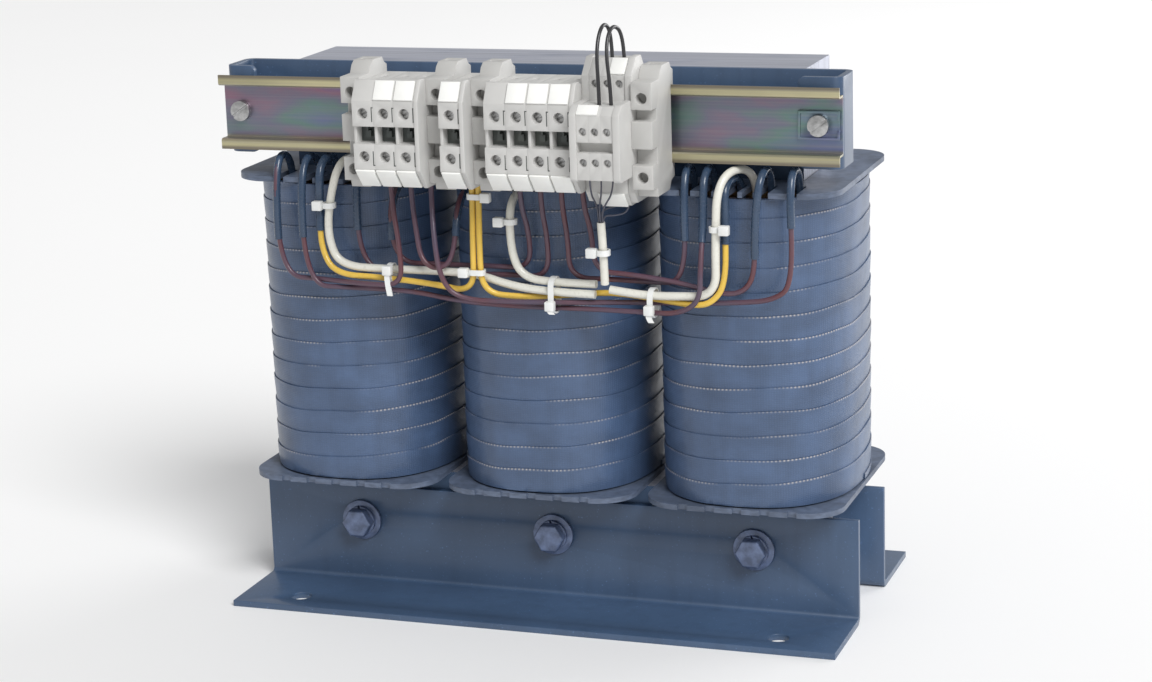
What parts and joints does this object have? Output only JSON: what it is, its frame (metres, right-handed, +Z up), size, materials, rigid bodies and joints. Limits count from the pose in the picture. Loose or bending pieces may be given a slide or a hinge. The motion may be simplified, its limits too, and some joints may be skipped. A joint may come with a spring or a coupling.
{
  "type": "dry type transformer",
  "caption": "Open three-limb dry type transformer with taped, varnished coils, clamped laminated core, and a terminal rail with a lead harness on top.",
  "frame": {"origin": "centre of the four foot holes, at the underside of the feet", "axes": "+X along the core and the terminal rail to the viewer's right when facing the terminals, +Y to the rear, away from the terminals, +Z up"},
  "size_m": [0.3, 0.1786, 0.288],
  "materials": {
    "core_laminations": "thin sheet edges under clear varnish",
    "varnished_frame": "dark blue impregnating varnish, glossy",
    "bolt_steel": "zinc plated under a thin coat of varnish",
    "bolt_sleeve": "rolled insulating board tube",
    "coil_board": "pressed board soaked in varnish",
    "winding_wire": "enamelled wire layers",
    "layer_paper": "insulating paper layers",
    "coil_tape": "woven tape soaked in glossy varnish",
    "rail_zinc": "yellow passivated zinc with faint rainbow tints",
    "screw_steel": "bright zinc plating",
    "terminal_plastic": "moulded, light grey",
    "contact_brass": "tinned contact metal",
    "marker_white": "bare white strip",
    "bracket_plastic": "moulded, grey",
    "lead_insulation": "brown and mauve insulation under varnish",
    "screen_insulation": "yellow insulation",
    "white_hose": "off-white hose",
    "black_insulation": "black insulation",
    "sensor_insulation": "thin coloured insulation",
    "lead_sleeve": "dark blue varnished sleeving",
    "tie_nylon": "natural nylon"
  },
  "bodies": {
    "root": {"core_e_stack": "core_laminations", "core_top_yoke": "core_laminations", "front_bottom_angle": "varnished_frame", "rear_bottom_angle": "varnished_frame", "front_top_clamp": "varnished_frame", "rear_top_clamp": "varnished_frame", "yoke_bolts": "bolt_steel", "yoke_washers": "bolt_steel", "yoke_spring_washers": "bolt_steel", "yoke_nuts": "bolt_steel", "yoke_bolt_sleeves": "bolt_sleeve", "coil_former_left": "coil_board", "inner_winding_left": "winding_wire", "layer_insulation_left": "layer_paper", "outer_winding_left": "winding_wire", "tape_wrap_left": "coil_tape", "coil_former_centre": "coil_board", "inner_winding_centre": "winding_wire", "layer_insulation_centre": "layer_paper", "outer_winding_centre": "winding_wire", "tape_wrap_centre": "coil_tape", "coil_former_right": "coil_board", "inner_winding_right": "winding_wire", "layer_insulation_right": "layer_paper", "outer_winding_right": "winding_wire", "tape_wrap_right": "coil_tape", "din_rail": "rail_zinc", "earth_saddle": "rail_zinc", "rail_screws": "screw_steel", "terminal_1": "terminal_plastic", "terminal_2": "terminal_plastic", "terminal_3": "terminal_plastic", "terminal_4": "terminal_plastic", "terminal_5": "terminal_plastic", "terminal_6": "terminal_plastic", "terminal_7": "terminal_plastic", "terminal_8": "terminal_plastic", "terminal_current_bars": "contact_brass", "terminal_screws": "screw_steel", "terminal_end_plates": "terminal_plastic", "lower_markers": "marker_white", "upper_markers": "marker_white", "end_bracket_1": "bracket_plastic", "end_bracket_2": "bracket_plastic", "end_bracket_3": "bracket_plastic", "end_bracket_4": "bracket_plastic", "twin_terminal_1": "terminal_plastic", "twin_terminal_2": "terminal_plastic", "twin_terminal_3": "terminal_plastic", "twin_terminal_screws": "screw_steel", "twin_terminal_end_plates": "terminal_plastic", "twin_terminal_markers": "marker_white", "winding_leads": "lead_insulation", "screen_leads": "screen_insulation", "sensor_hoses": "white_hose", "jumper_wires": "black_insulation", "sensor_wires": "sensor_insulation", "lead_hoses": "lead_sleeve", "cable_ties": "tie_nylon"}
  },
  "joints": []
}
